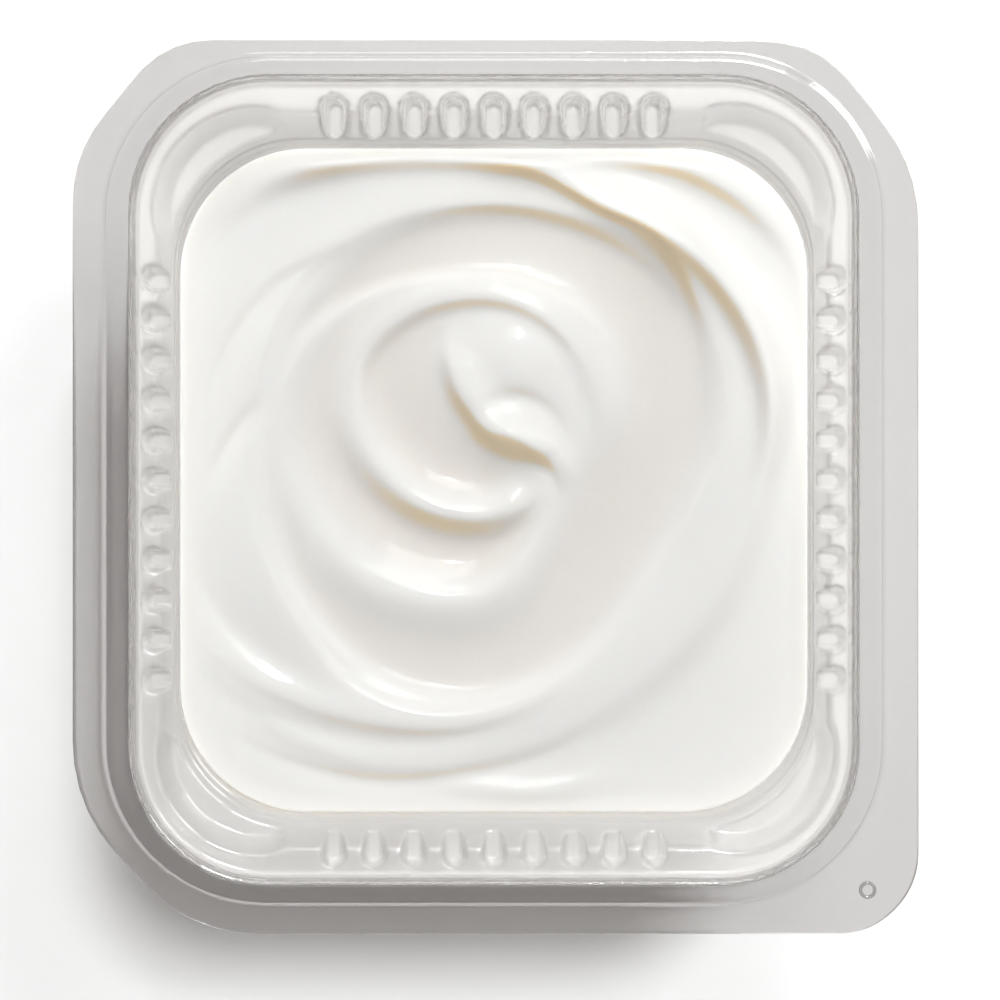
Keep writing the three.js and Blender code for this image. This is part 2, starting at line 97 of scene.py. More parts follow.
# Pockets pressed into the shelf and the wall.  The draft is how far a pocket's side leans in over
# its depth, the sheet is how much wider the pocket is outside, and past its edge its surface climbs.
POCKET_PITCH = 4.53
POCKET_WIDTH = 3
POCKET_DRAFT = 0.8
POCKET_SHEET = 0.25
POCKET_CLIMB = 10
# Each row's side, count, how far from the mouth its pockets start and end, and their floor's height.
POCKET_ROWS = [
    ("back", 9, 1.35, 6.5, 45.6),
    ("front", 9, 1.1, 6, 49.4),
    ("left", 11, 0.6, 5.2, 48.8),
    ("right", 11, 0.5, 5.2, 48.8),
]
CRESCENT_DEPTH = 1.95
CRESCENT_FLOOR = 49
CRESCENT_FROM = 6
CRESCENT_TO = 88
# A crescent's outline follows a sine to this power, and is left out where the sine is under the least.
CRESCENT_POWER = 0.6
CRESCENT_LEAST = 0.02
# How far the edges of the pockets and crescents are rounded over.
EDGE_BLEND = 0.25

# The small raised ring on the corner that is pulled to peel the lid.
TAB_RING_AT = [41.9, -45.4]
TAB_RING_RADIUS = 0.8
TAB_RING_TUBE = 0.2

# Steps of a full outline: in each corner, along the back and front, along the left and right.
# A row of points may take every second or fourth one.
CORNER_STEPS = 48
SIDE_STEPS = [200, 228]
ALL_STEPS = 1
SECOND_STEPS = 2
FOURTH_STEPS = 4

# How finely the pot's section is drawn: steps of a bend and of a fine line's bend, the widest gap
# between levels, and how close to each bend one more level lies.
BEND_STEPS = 5
LINE_STEPS = 2
LEVEL_GAP = 6
BESIDE_BEND = 0.3
# From the fill height to this far above the shelf, the gaps are narrow enough for the pockets.
FINE_ABOVE_SHELF = 0.6
FINE_GAP_INSIDE = 0.25
FINE_GAP_OUTSIDE = 0.45
# Points of each bend of the flange's cut corners, and steps round the small ring and round its tube.
TRIM_POINTS = 20
TAB_RING_STEPS = (24, 8)

# Driving sizes of the yogurt, the same as in its solid, apart from its edge, which reaches into the wall.
YOGURT_LEVEL = 45.2
INTO_WALL = 0.1
# Corners of the pot's inner face that the yogurt touches, from the middle of the floor up.
YOGURT_CORNERS = 5
# Gap between the rings of its top, and the share of its size below which they have fewer points.
SWIRL_GAP = 0.3
SWIRL_FINE_SHARE = 0.4
# Along the wall the yogurt is level, at this height over its own, over a band of this width.
EDGE_RISE = 0.3
EDGE_BAND = 2.2
# The bowl that the spoon pressed: its centre, its radius at evenly spaced angles from +X, and how far
# in from its edge its wall curves down.
BOWL_AT = (-1.2, 5.9)
BOWL_RADII = [
    27.2, 28.6, 29, 27.2, 26.4, 26.1, 26.3, 25.5, 25.5, 27, 28.8, 30.4, 30.2, 27.7, 24.8, 24.8,
]
BOWL_WALLS = [2.6, 2.1, 1.7, 1.4, 1.4, 1.7, 2.4, 2.2, 1.7, 1.4, 1.3, 1.1, 1.1, 1.4, 1.8, 2.2]
BOWL_LIP = 0.3
BOWL_DEPTH = 1.4
BOWL_CURVE = 1.6
# How deep the bowl's floor sags, the radius where that starts and the run over which it grows.
BOWL_SAG = (0.8, 26, 14)
# Centre, radius and height of each mound in the bowl.
MOUNDS = [((2.2, 14.3), 8.6, 4.2), ((6.7, 4.7), 6.6, 1.6)]
STROKE_SHARPNESS = 1.5

# A stroke of the spoon is an arc about a centre of its own, from a start angle through a turn, with its
# radii, its rise and its spread inwards and outwards at even steps, and the share over which it fades.
Stroke = namedtuple("Stroke", "at start turn radii rise inside outside fade")
STROKES = [
    # upper left rim of the bowl
    Stroke((-0.8, 5.3), 196, -150, [26.3, 27.2, 28.6, 28.2, 27.4, 27.2, 27.8],
           [0.2, 0.4, 0.5, 0.5, 0.5, 0.6, 0.8], [1.1], [3.2], (0.2, 0.12)),
    # fold that comes down from the top and becomes the right rim of the bowl
    Stroke((-1.7, 6.4), 96, -132, [32, 30.8, 29.4, 30.4, 29, 27.6, 26.6, 25.6, 25.6],
           [0.6, 1.8, 2.8, 3, 1, 0.4, 0.4, 0.5, 0.2],
           [1.2, 1.2, 1, 1, 1.2, 1.6, 1.6, 1.6, 1.6], [4], (0.1, 0.15)),
    # second fold on the right
    Stroke((-1.7, 6.4), 50, -60, [30.8, 32.2, 33.2, 33.5, 33],
           [1.6, 2.8, 3.2, 2.4, 0.8], [1.8], [3], (0.12, 0.3)),
    # long outer crest round the lower right
    Stroke((-1.7, 6.4), 10, -143, [32.6, 32, 32, 32.8, 33.8, 35.6, 38.4, 40.2, 40.5],
           [1.2, 1.5, 1.5, 1.3, 1, 0.8, 0.7, 0.7, 0.5], [6],
           [2.2, 2.6, 3.2, 3.2, 3, 2.4, 2, 2, 2], (0.1, 0.1)),
    # lower rim of the bowl
    Stroke((-1.7, 5.3), 185, 150, [27.4, 28, 29.3, 31.7, 31.8, 30.1, 28, 26.3, 24.8],
           [0.5, 0.7, 0.8, 0.9, 0.9, 0.7, 0.5, 0.3, 0], [1.3], [5], (0.1, 0.1)),
    # outer turn of the spiral
    Stroke((-5.1, 5.3), 37, 302,
           [21.1, 19.6, 18.4, 18.7, 19.8, 19.6, 18.5, 18.4, 18.4, 18, 15, 12.6],
           [0.4, 0.7, 0.8, 0.8, 0.8, 0.9, 1.4, 1.9, 2.1, 2.2, 2, 1.4],
           [4, 4, 4, 4, 4, 4, 4.5, 4.5, 4.5, 3.5, 2.2, 2],
           [1.2, 1.2, 1.2, 1.4, 1.6, 2, 3.4, 4.2, 4.4, 4.4, 4, 4], (0.06, 0.08)),
    # inner turn of the spiral
    Stroke((-2.3, 7.5), -50, -318,
           [10.4, 10.8, 10.9, 11.4, 12.2, 13.7, 15, 14.6, 14.3, 14.4, 14.4, 14.6, 14.9],
           [1.8, 2.5, 2.7, 2.5, 2.2, 1.7, 1.3, 1.2, 1.2, 1.2, 1.2, 1.2, 0.8],
           [3.5, 3.5, 3.5, 3.5, 3.5, 3, 1.8, 1.3, 1.2, 1.2, 1.4, 2, 2],
           [2.2, 2.2, 2.2, 2.4, 3, 3.4, 3, 2.8, 2.8, 3, 4, 5, 5], (0.06, 0.06)),
    # left edge of the middle dome, down to its tip
    Stroke((2.8, 14.3), 165, 115, [8.2, 7.7, 7.7, 8.8, 10.2],
           [0.6, 1.5, 2.1, 2.2, 1.8], [3.4], [1.4], (0.2, 0.2)),
    # lower edge of the middle dome, right of its tip
    Stroke((0, -1.5), 100, -92, [7.9, 7.7, 7.6, 8, 8.2],
           [0.8, 1.4, 1.4, 1, 0.5], [1.2], [2.2], (0.3, 0.3)),
    # curl above the tip
    Stroke((2.8, 4.7), 130, -120, [6.1, 5.6, 5.2, 5.1],
           [-0.4, -0.55, -0.5, -0.3], [1.6], [1], (0.3, 0.3)),
    # lip along the back, left
    Stroke((-7.4, 1.9), 122, -50, [38, 37.2, 36.7, 36.8], [1.4, 2.6, 2.6, 1.6], [1.9], [4], (0.3, 0.25)),
    # lip along the back, right
    Stroke((8.9, 13.2), 106, -76, [25.4, 25.4, 27, 28.6], [1.4, 2.2, 1.8, 1], [1.5], [4], (0.2, 0.3)),
    # shallow groove outside the bowl, upper left
    Stroke((-7.4, 5.3), 161, -40, [25.6, 25.3, 24.9, 24.2], [-0.6], [2.4], [1], (0.4, 0.3)),
    # short groove at the left
    Stroke((-7.4, -9.3), 154, -17, [27.2, 27.3, 27.3], [-0.6], [1.8], [0.8], (0.5, 0.4)),
    # groove at the lower left
    Stroke((-7.4, 1.9), -163, 42, [29.4, 29.2, 28.8, 27.8], [-0.5], [2.4], [1.4], (0.4, 0.4)),
    # ridge in front
    Stroke((-9.6, 7.5), -128, 66, [34.6, 34.4, 34.5, 35, 34.7],
           [0.5, 0.65, 0.65, 0.55, 0.3], [3.2], [1.2], (0.2, 0.2)),
    # groove below that ridge
    Stroke((-9.6, 7.5), -123, 45, [37.8, 37, 36.7, 36.5], [-0.35], [1.2], [1.6], (0.3, 0.3)),
    # fine groove in front of the outer crest
    Stroke((-9.4, 7.5), -112, 44, [41.6, 41.5, 40.8, 40.9], [-0.5], [0.9], [1.4], (0.3, 0.3)),
    # low wave near the front wall
    Stroke((2, 5), -97, 20, [39.6, 39.8, 39.6], [0.7], [1.4], [2.4], (0.4, 0.4)),
]

# The clear plastic.  Over the first span of heights, in metres, it turns from the wall's colour and
# clearness to the flange's: the wall's colour is partly the plastic's own tint and partly painted light,
# and the flange's darker grey partly its tint and partly painted shade.  Over the second it turns from
# hazy, in the deepest pockets and below them, to as clear as the wall.  The last colour is the share of
# a lamp's light that passes through.
FLANGE_SPAN = ((LAND_HEIGHT - 1.5) * MM, (LAND_HEIGHT - 0.2) * MM)
PLASTIC_CLEARNESS = (0.6, 0.95)
WALL_TINT_AND_LIGHT = (0.82, 0.805, 0.79, 1)
FLANGE_TINT_AND_SHADE = (0.56, 0.545, 0.54, 1)
HAZY_SPAN = (0.045, 0.052)
HAZY_SHARE = 0.55
LAMPS_PASS_COLOUR = (0.88, 0.88, 0.88, 1)

# The yogurt.  Painted shade turns it a warmer, darker cream in its hollows, over a span of heights in
# metres, and a tan painted shade lies on steep flanks, by how far they face away from the key light.
YOGURT_COLOURS = ((0.925, 0.91, 0.885, 1), (0.94, 0.93, 0.905, 1))
YOGURT_ROUGHNESS = (0.06, 0.14)
HOLLOW_PAINTED_SHADE = (0.875, 0.83, 0.785, 1)
HOLLOW_SHADE_SPAN = (0.0432, YOGURT_LEVEL * MM)
FOLD_PAINTED_SHADE = (0.985, 0.835, 0.59, 1)
AWAY_FROM_KEY_LIGHT = (-0.45, -0.89, 0)
FOLD_SHADE_SPAN = (0.42, 0.85)

# The studio: the floor, and the point in metres that most lamps shine at.
FLOOR_WIDTH = 6000
FLOOR_COLOURS = ((0.90, 0.895, 0.89, 1), (0.91, 0.905, 0.90, 1))
MIDDLE = (0, 0, 0.05)
LAMP_COLOUR = (0.96, 0.99, 1)
# Light from all round.  Where it is reflected or seen through the plastic, GLEAM_GAIN times its own
# strength is added to it.
WORLD_COLOUR = (1, 0.93, 0.895, 1)
HORIZON_STRENGTH = 0.33
ZENITH_STRENGTH = 0.14
GLEAM_GAIN = 2

# The camera, in metres, with its sensor and lens in millimetres.
PICTURE_WIDTH = 0.1125
CAMERA_DISTANCE = 0.6
CAMERA_AT = (0.0005, -0.00146)
SENSOR = 36


def level(size, z, by=0.0):
    """A rounded rectangle of the body at one height: width, length, height, radius, share of the flange."""
    width, length, radius = size
    return np.array([width + 2 * by, length + 2 * by, z, radius + by, 0])


def flange_level(z):
    """The flange's own outline at one height."""
    return np.array([FLANGE_WIDTH, FLANGE_LENGTH, z, FLANGE_RADIUS, 1])


def reach(a, b):
    """Distance between two levels, measured on the pot's section."""
    return math.hypot((b[0] - a[0] + b[1] - a[1]) / 4, b[2] - a[2])


def rounded(corners):
    """Levels through a list of (level, cut), each corner rounded off from cut before it to cut after it."""
    levels = [corners[0][0]]
    for (before, _), (corner, cut), (after, _) in zip(corners, corners[1:], corners[2:]):
        steps = BEND_STEPS if cut > WALL_LINE_STEP else LINE_STEPS
        start = corner + (before - corner) * min(cut / reach(before, corner), 0.5)
        end = corner + (after - corner) * min(cut / reach(corner, after), 0.5)
        for t in np.linspace(0, 1, steps + 1):
            levels.append((1 - t) ** 2 * start + 2 * t * (1 - t) * corner + t ** 2 * end)
    levels.append(corners[-1][0])
    return levels


def refined(levels):
    """The same levels with more between them, so that no gap is wide, and one close beside each bend."""
    result = [levels[0]]
    for a, b in zip(levels, levels[1:]):
        span = reach(a, b)
        count = max(math.ceil(span / LEVEL_GAP), 1)
        shares = {step / count for step in range(1, count + 1)}
        if span > 3 * BESIDE_BEND:
            shares |= {BESIDE_BEND / span, 1 - BESIDE_BEND / span}
        result += [a + (b - a) * share for share in sorted(shares)]
    return result


def around(corners, every=ALL_STEPS):
    """A closed outline through four corners of points, anticlockwise from the upper end of the +X side."""
    pieces = []
    for quarter, corner in enumerate(corners):
        following = corners[(quarter + 1) % 4]
        steps = SIDE_STEPS[quarter % 2]
        share = np.arange(0, steps, every)[:, None] / steps
        pieces.append(corner[:-1:every])
        pieces.append(corner[-1] + (following[0] - corner[-1]) * share)
    return np.concatenate(pieces)


def trimmed_corner(quarter):
    """Points of one of the flange's corners, which is cut off straight with rounded bends."""
    over_x, over_y, bend = FLANGE_TRIMS[quarter]
    share = bend / math.hypot(over_x, over_y)
    route = np.array([
        (0, over_y + bend), (0, over_y), (over_x * share, over_y * (1 - share)),
        (over_x * (1 - share), over_y * share), (over_x, 0), (over_x + bend, 0),
    ])
    route = CORNERS[quarter] * (np.array([FLANGE_WIDTH, FLANGE_LENGTH]) / 2 - route)
    if quarter % 2:
        route = route[::-1]
    t = np.linspace(0, 1, TRIM_POINTS)[:, None]
    bends = [(1 - t) ** 2 * a + 2 * t * (1 - t) * b + t ** 2 * c for a, b, c in (route[:3], route[3:])]
    path = np.concatenate(bends)
    length = np.concatenate([[0], np.cumsum(np.hypot(*np.diff(path, axis=0).T))])
    places = np.linspace(0, length[-1], CORNER_STEPS + 1)
    return np.column_stack([np.interp(places, length, path[:, axis]) for axis in (0, 1)])


FLANGE_OUTLINE = around([trimmed_corner(quarter) for quarter in range(4)])


def ring(a_level, every=ALL_STEPS):
    """Points of one level's outline."""
    width, length, z, radius, share = a_level
    corners = []
    for quarter, signs in enumerate(CORNERS):
        turn = (quarter + np.arange(CORNER_STEPS + 1) / CORNER_STEPS) * QUARTER
        centre = BODY_AT + signs * (np.array([width, length]) / 2 - radius)
        corners.append(centre + radius * np.stack([np.cos(turn), np.sin(turn)], 1))
    flat = around(corners, every)
    if share > 0:
        own = ring(flange_level(z) * [1, 1, 1, 1, 0], every)[:, :2]
        flat = flat + share * (FLANGE_OUTLINE[::every] - own)
    return np.column_stack([flat, np.full(len(flat), z)])


def joined(lower, upper, first, second):
    """Faces between two rows of points, where one row may have several times as many as the other."""
    if lower == upper:
        a = np.arange(lower)
        b = (a + 1) % lower
        return np.column_stack([first + a, first + b, second + b, second + a]).tolist()
    faces = []
    fewer = min(lower, upper)
    times = max(lower, upper) // fewer
    for i in range(fewer):
        following = (i + 1) % fewer
        fine = [(i * times + j) % (fewer * times) for j in range(times + 1)]
        for j in range(times):
            near = i if j < times // 2 else following
            if lower < upper:
                faces.append((first + near, second + fine[j + 1], second + fine[j]))
            else:
                faces.append((first + fine[j], first + fine[j + 1], second + near))
        middle = fine[times // 2]
        if lower < upper:
            faces.append((first + i, first + following, second + middle))
        else:
            faces.append((first + middle, second + following, second + i))
    return faces


def skin(rows):
    """Points and faces of a closed surface through rows of points, with a fan at each end."""
    starts = np.cumsum([0] + [len(row) for row in rows])
    points = np.concatenate(rows + [rows[0].mean(0)[None], rows[-1].mean(0)[None]])
    faces = []
    for i in range(len(rows) - 1):
        faces += joined(len(rows[i]), len(rows[i + 1]), int(starts[i]), int(starts[i + 1]))
    first, last = len(rows[0]), len(rows[-1])
    faces += [(int(starts[-1]), (i + 1) % first, i) for i in range(first)]
    top = int(starts[-2])
    faces += [(int(starts[-1]) + 1, top + i, top + (i + 1) % last) for i in range(last)]
    return points, faces


def mesh_piece(name, points, faces, material):
    """A smooth-shaded object from points in millimetres."""
    mesh = bpy.data.meshes.new(name)
    mesh.from_pydata((points * MM).tolist(), [], faces)
    mesh.polygons.foreach_set("use_smooth", [True] * len(mesh.polygons))
    mesh.update()
    mesh.materials.append(material)
    piece = bpy.data.objects.new(name, mesh)
    bpy.context.scene.collection.objects.link(piece)
    return piece


def ease(t):
    """A smooth step from 0 to 1."""
    t = np.clip(t, 0, 1)
    return t * t * (3 - 2 * t)


def lesser(a, b, blend):
    """The smaller of two heights, with the edge between them rounded over."""
    share = np.clip(0.5 + 0.5 * (b - a) / blend, 0, 1)
    return b + (a - b) * share - blend * share * (1 - share)


def pocket_height(x, y, extra):
    """Height of the pockets' surface at points of the plan; extra is the sheet's thickness outside."""
    height = np.full(len(x), np.inf)
    half = POCKET_WIDTH / 2
    sides = {"back": (x, MOUTH[1] / 2 - y), "front": (-x, MOUTH[1] / 2 + y),
             "left": (y, MOUTH[0] / 2 + x), "right": (-y, MOUTH[0] / 2 - x)}
    for side, count, start, reaches, floor in POCKET_ROWS:
        along_side, inwards = sides[side]
        nearest = np.clip(np.round(along_side / POCKET_PITCH + (count - 1) / 2), 0, count - 1)
        across = along_side - (nearest - (count - 1) / 2) * POCKET_PITCH
        beyond = np.maximum(start + half - inwards, inwards - reaches + half)
        off = np.hypot(across, np.maximum(beyond, 0)) - half - extra * POCKET_SHEET / SHEET
        deep = SHELF_HEIGHT - floor
        surface = floor + deep * ease(1 + off / POCKET_DRAFT) + POCKET_CLIMB * np.maximum(off, 0)
        height = np.minimum(height, surface - extra)
    return height


def crescent_height(x, y, extra):
    """Height of the crescent scoops in the corners at points of the plan."""
    radius = SHELF[2]
    corner_x = np.abs(x) - (SHELF[0] / 2 - radius)
    corner_y = np.abs(y) - (SHELF[1] / 2 - radius)
    away = np.hypot(corner_x, corner_y)
    turned = np.degrees(np.arctan2(corner_y, corner_x))
    turned = np.where(x * y < 0, 90 - turned, turned)
    share = np.clip((turned - CRESCENT_FROM) / (CRESCENT_TO - CRESCENT_FROM), 0, 1)
    swell = np.sin(math.pi * share)
    wide = CRESCENT_DEPTH * swell ** CRESCENT_POWER
    slope = (SHELF_HEIGHT - CRESCENT_FLOOR) / CRESCENT_DEPTH
    scooped = SHELF_HEIGHT + slope * (away - radius - wide - extra)
    scooped = np.maximum(scooped, CRESCENT_FLOOR) - extra
    inside = (corner_x > 0) & (corner_y > 0) & (swell > CRESCENT_LEAST)
    return np.where(inside, scooped, np.inf)


def pressed(points, extra):
    """A row of the pot's points with the pockets and crescents pressed into it."""
    x, y = (points[:, :2] - BODY_AT).T
    hollow = np.minimum(pocket_height(x, y, extra), crescent_height(x, y, extra))
    z = points[:, 2]
    near = hollow < z + EDGE_BLEND
    result = points.copy()
    result[near, 2] = lesser(z[near], hollow[near], EDGE_BLEND)
    return result


def wall_level(z, by=0.0):
    """The upper wall of the pot at one height, where it bends out towards the shelf."""
    up = (z - FILL_HEIGHT) / (SHELF_HEIGHT - FILL_HEIGHT)
    outwards = np.interp(up, [0, WALL_BEND[0], 1], [0, WALL_BEND[1], 1])
    fill = level(FILL, z, by)
    return fill + (level(SHELF, z, by) - fill) * outwards


RING_INSIDE = -FOOT_ROUND - FOOT_RING_WIDTH
WALL_BEND_HEIGHT = FILL_HEIGHT + (SHELF_HEIGHT - FILL_HEIGHT) * WALL_BEND[0]


def inner_corners():
    """Corners of the pot's inner face, from the middle of its floor to the top of its mouth."""
    lines = []
    for z in WALL_LINES:
        lines.append((wall_level(z - WALL_LINE_STEP / 2, -WALL_LINE_STEP / 2), WALL_LINE_STEP / 2))
        lines.append((wall_level(z + WALL_LINE_STEP / 2, WALL_LINE_STEP / 2), WALL_LINE_STEP / 2))
    return [
        (level(FOOT, SHEET + BASE_RISE, RING_INSIDE - BASE_RISE - BASE_MARGIN), 0),
        (level(FOOT, SHEET + BASE_RISE, RING_INSIDE - BASE_RISE), FOOT_RING_ROUND),
        (level(FOOT, SHEET, RING_INSIDE), FOOT_RING_ROUND),
        (level(FOOT, SHEET), FOOT_ROUND),
        (level(FILL, FILL_HEIGHT), FILL_ROUND),
        *lines,
        (wall_level(WALL_BEND_HEIGHT), WALL_BEND_ROUND),
        (level(SHELF, SHELF_HEIGHT), SHELF_ROUND),
        (level(MOUTH, SHELF_HEIGHT, -SHELF_INSET), SHELF_INSET),
        (level(MOUTH, RIM_HEIGHT), MOUTH_ROUND),
    ]


def flange_corners():
    """Corners of the flange's top, edge and underside, from the mouth out and back."""
    edge = SHEET / 4
    return [
        (level(SEAL_STEP, RIM_HEIGHT, -SEAL_STEP_RUN), SEAL_STEP_ROUND),
        (level(SEAL_STEP, LAND_HEIGHT, SEAL_STEP_RUN), SEAL_STEP_ROUND),
        (flange_level(LAND_HEIGHT), edge),
        (flange_level(LAND_HEIGHT - SHEET), edge),
        (level(SEAL_STEP, LAND_HEIGHT - SHEET, SEAL_STEP_RUN), UNDERSIDE_ROUND),
        (level(SEAL_STEP, RIM_HEIGHT - SHEET, -SEAL_STEP_RUN), UNDERSIDE_ROUND),
    ]


def outer_corners():
    """Corners of the pot's outer face, from under its mouth to the middle of its base."""
    return [
        (level(MOUTH, RIM_HEIGHT - SHEET, SHEET), OUTER_MOUTH_ROUND),
        (level(MOUTH, SHELF_HEIGHT - SHEET, SHEET - SHELF_INSET), SHELF_INSET + SHEET),
        (level(SHELF, SHELF_HEIGHT - SHEET, SHEET), SHELF_ROUND / 2),
        (wall_level(WALL_BEND_HEIGHT, SHEET), WALL_BEND_ROUND),
        (level(FILL, FILL_HEIGHT, SHEET), FILL_ROUND),
        (level(FOOT, 0, SHEET), FOOT_ROUND + SHEET),
        (level(FOOT, 0, RING_INSIDE), FOOT_RING_ROUND),
        (level(FOOT, BASE_RISE, RING_INSIDE - BASE_RISE), FOOT_RING_ROUND),
        (level(FOOT, BASE_RISE, RING_INSIDE - BASE_RISE - BASE_MARGIN), 0),
    ]


def pot_rows():
    """Rows of points over the whole pot, from the middle of its base round to that of its floor."""
    profile = rounded(inner_corners() + flange_corners() + outer_corners())
    profile.reverse()
    levels = refined(profile)
    widest = max(range(len(levels)), key=lambda i: levels[i][0])
    rows = []
    for i, (a, b) in enumerate(zip(levels, levels[1:] + levels[-1:])):
        outside = i < widest
        extra = SHEET if outside else 0
        lowest = min(a[2], b[2]) + extra
        highest = max(a[2], b[2]) + extra
        in_wall = FILL_HEIGHT <= lowest and highest <= SHELF_HEIGHT + FINE_ABOVE_SHELF
        if not (in_wall and a[0] < MOUTH[0] + 2 * SHEET):
            rows.append(pressed(ring(a, FOURTH_STEPS), extra))
            continue
        every = SECOND_STEPS if outside else ALL_STEPS
        gap = FINE_GAP_OUTSIDE if outside else FINE_GAP_INSIDE
        count = max(math.ceil(abs(b[0] - a[0] + b[1] - a[1]) / 4 / gap), 1)
        rows += [pressed(ring(a + (b - a) * j / count, every), extra) for j in range(count)]
    return rows


def tab_ring():
    """Points and faces of the small ring on the pulling corner."""
    turns, sides = TAB_RING_STEPS
    turned = np.arange(turns) * 2 * math.pi / turns
    across = np.arange(sides) * 2 * math.pi / sides
    radius = TAB_RING_RADIUS + TAB_RING_TUBE * np.cos(across)
    x = TAB_RING_AT[0] + np.outer(np.cos(turned), radius)
    y = TAB_RING_AT[1] + np.outer(np.sin(turned), radius)
    z = np.broadcast_to(LAND_HEIGHT + TAB_RING_TUBE * np.sin(across), x.shape)
    points = np.stack([x, y, z], -1).reshape(-1, 3)
    faces = []
    for i in range(turns):
        step = ((i + 1) % turns - i) * sides
        for j in range(sides):
            a = i * sides + j
            b = i * sides + (j + 1) % sides
            faces.append((a, a + step, b + step, b))
    return points, faces


def curve(values, t):
    """Value and slope of a smooth curve through evenly spaced values, at t from 0 to 1."""
    values = np.asarray(values, float)
    if len(values) == 1:
        return np.full_like(t, values[0]), np.zeros_like(t)
    last = len(values) - 1
    place = np.clip(t, 0, 1) * last
    i = np.minimum(place.astype(int), last - 1)
    f = place - i
    start, end = values[i], values[i + 1]
    before = values[np.maximum(i - 1, 0)]
    after = values[np.minimum(i + 2, last)]
    leave = np.where(i == 0, end - start, (end - before) / 2)
    arrive = np.where(i == last - 1, end - start, (after - start) / 2)
    rest = 3 * (end - start) - 2 * leave - arrive
    twist = leave + arrive - 2 * (end - start)
    value = start + f * (leave + f * (rest + f * twist))
    slope = (leave + f * (2 * rest + 3 * f * twist)) * last
    return value, slope


def loop_curve(values, degrees):
    """Value of a smooth closed curve through evenly spaced values, at angles in degrees."""
    values = np.asarray(values, float)
    place = degrees % 360 / 360 * len(values)
    i = np.floor(place).astype(int)
    f = place - i
    a, b, c, d = (values[(i + step) % len(values)] for step in (-1, 0, 1, 2))
    return b + 0.5 * f * (c - a + f * (2 * a - 5 * b + 4 * c - d + f * (3 * (b - c) + d - a)))


def stroke_height(stroke, x, y):
    """Height that one stroke adds at points of the plan."""
    dx = x - stroke.at[0]
    dy = y - stroke.at[1]
    span = abs(stroke.turn)
    spare = (360 - span) / 2
    bearing = np.degrees(np.arctan2(dy, dx)) - stroke.start
    travelled = math.copysign(1, stroke.turn) * bearing % 360
    travelled = np.where(travelled > span + spare, travelled - 360, travelled)
    t = travelled / span
    begin, end = stroke.fade
    fading = ease((t + begin) / (2 * begin)) * ease((1 + end - t) / (2 * end))
    radius, change = curve(stroke.radii, t)
    lean = np.where((t < 0) | (t > 1), 0, change / (math.radians(span) * radius))
    off = (np.hypot(dx, dy) - radius) / np.hypot(1, lean)
    spread = np.where(off < 0, curve(stroke.inside, t)[0], curve(stroke.outside, t)[0])
    return fading * curve(stroke.rise, t)[0] * np.exp(-STROKE_SHARPNESS * (off / spread) ** 2)


def from_edge(x, y):
    """Distance from the yogurt's edge, inwards."""
    width, length, radius = FILL
    over_x = np.maximum(np.abs(x - BODY_AT[0]) - (width / 2 - radius), 0)
    over_y = np.maximum(np.abs(y - BODY_AT[1]) - (length / 2 - radius), 0)
    return radius - np.hypot(over_x, over_y)


def swirl(x, y):
    """Height of the yogurt's top over its own level."""
    dx = x - BOWL_AT[0]
    dy = y - BOWL_AT[1]
    r = np.hypot(dx, dy)
    degrees = np.degrees(np.arctan2(dy, dx))
    inwards = np.maximum(loop_curve(BOWL_RADII, degrees) + BOWL_LIP - r, 0)
    depth = (inwards / loop_curve(BOWL_WALLS, degrees)) ** BOWL_CURVE
    height = -BOWL_DEPTH * (1 - np.exp(-depth))
    sag, sag_radius, sag_run = BOWL_SAG
    height -= sag * ease((sag_radius - r) / sag_run)
    for at, radius, rise in MOUNDS:
        height += rise * np.exp(-((x - at[0]) ** 2 + (y - at[1]) ** 2) / radius ** 2)
    for stroke in STROKES:
        height += stroke_height(stroke, x, y)
    at_edge = ease(1 - from_edge(x, y) / EDGE_BAND)
    return height + (EDGE_RISE - height) * at_edge


def yogurt_rows():
    """Rows of points over the yogurt, from the middle of its underside up to that of its top."""
    wider = INTO_WALL * np.array([2, 2, 0, 1, 0])
    sides = [(corner + wider, cut) for corner, cut in inner_corners()[:YOGURT_CORNERS]]
    levels = [one for one in refined(rounded(sides)) if one[2] < YOGURT_LEVEL + EDGE_RISE]
    rows = [ring(one, FOURTH_STEPS) for one in levels]
    edge = levels[-1]
    count = round(FILL[0] / 2 / SWIRL_GAP)
    for j in range(count):
        share = 1 - j / count
        scale = np.array([share, share, 1, share, 1])
        row = ring(edge * scale, SECOND_STEPS if share > SWIRL_FINE_SHARE else FOURTH_STEPS)
        row[:, 2] = YOGURT_LEVEL + swirl(row[:, 0], row[:, 1])
        rows.append(row)
    return rows


